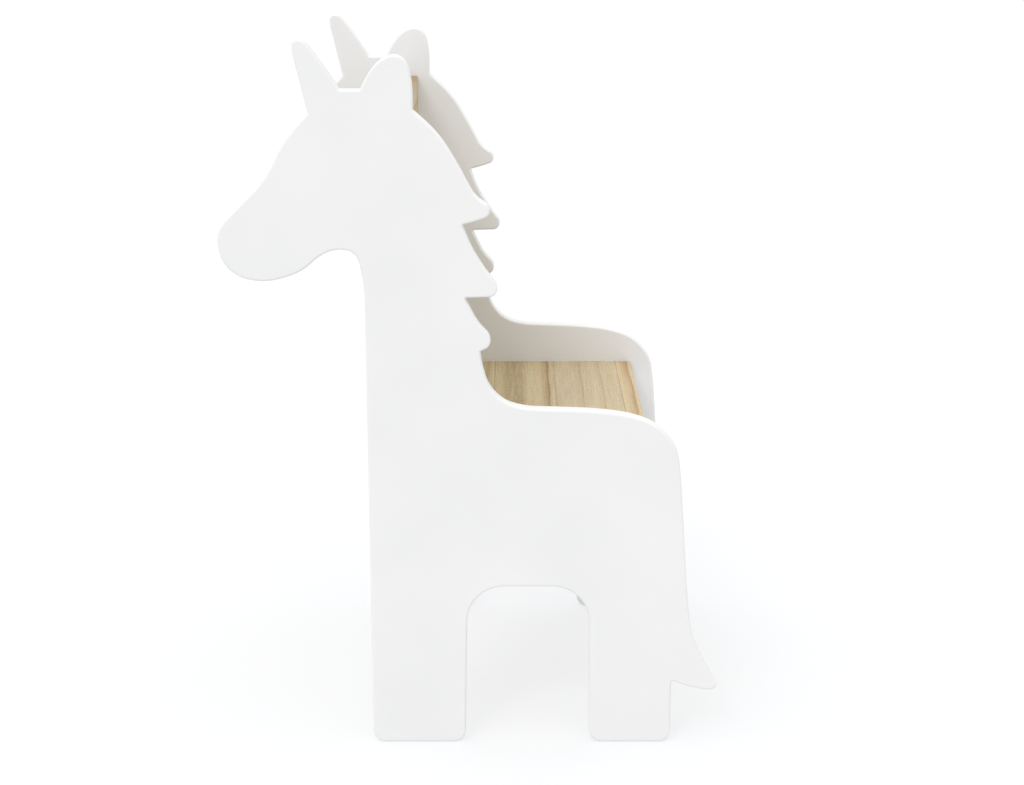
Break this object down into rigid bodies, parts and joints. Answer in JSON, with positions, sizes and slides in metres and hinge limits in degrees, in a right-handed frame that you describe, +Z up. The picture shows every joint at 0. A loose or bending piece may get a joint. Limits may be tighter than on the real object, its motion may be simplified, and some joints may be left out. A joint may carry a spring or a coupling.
{
  "type": "child's chair",
  "caption": "Small child's chair with two white unicorn-silhouette side panels and a natural wood seat and backrest between them.",
  "frame": {"origin": "on the floor, in the middle of the chair's length and width", "axes": "+Z up; +X the way the sitting child faces, towards the unicorn's tail; the unicorn's nose points to -X; +Y to the child's left"},
  "size_m": [0.4124, 0.32, 0.6],
  "materials": {
    "painted_panel": "fibreboard with opaque satin white lacquer, edges rounded and lacquered",
    "natural_wood": "edge-glued pale wood staves with clear matt lacquer",
    "zinc_cam": "bright die-cast zinc",
    "steel_bolt": "zinc-plated steel",
    "beech_dowel": "raw turned beech"
  },
  "bodies": {
    "root": {"right_side_panel": "painted_panel", "left_side_panel": "painted_panel", "seat_board": "natural_wood", "backrest_board": "natural_wood", "seat_cam_locks": "zinc_cam", "backrest_cam_locks": "zinc_cam", "seat_cam_bolts": "steel_bolt", "backrest_cam_bolts": "steel_bolt", "seat_dowels": "beech_dowel", "backrest_dowels": "beech_dowel"}
  },
  "joints": []
}
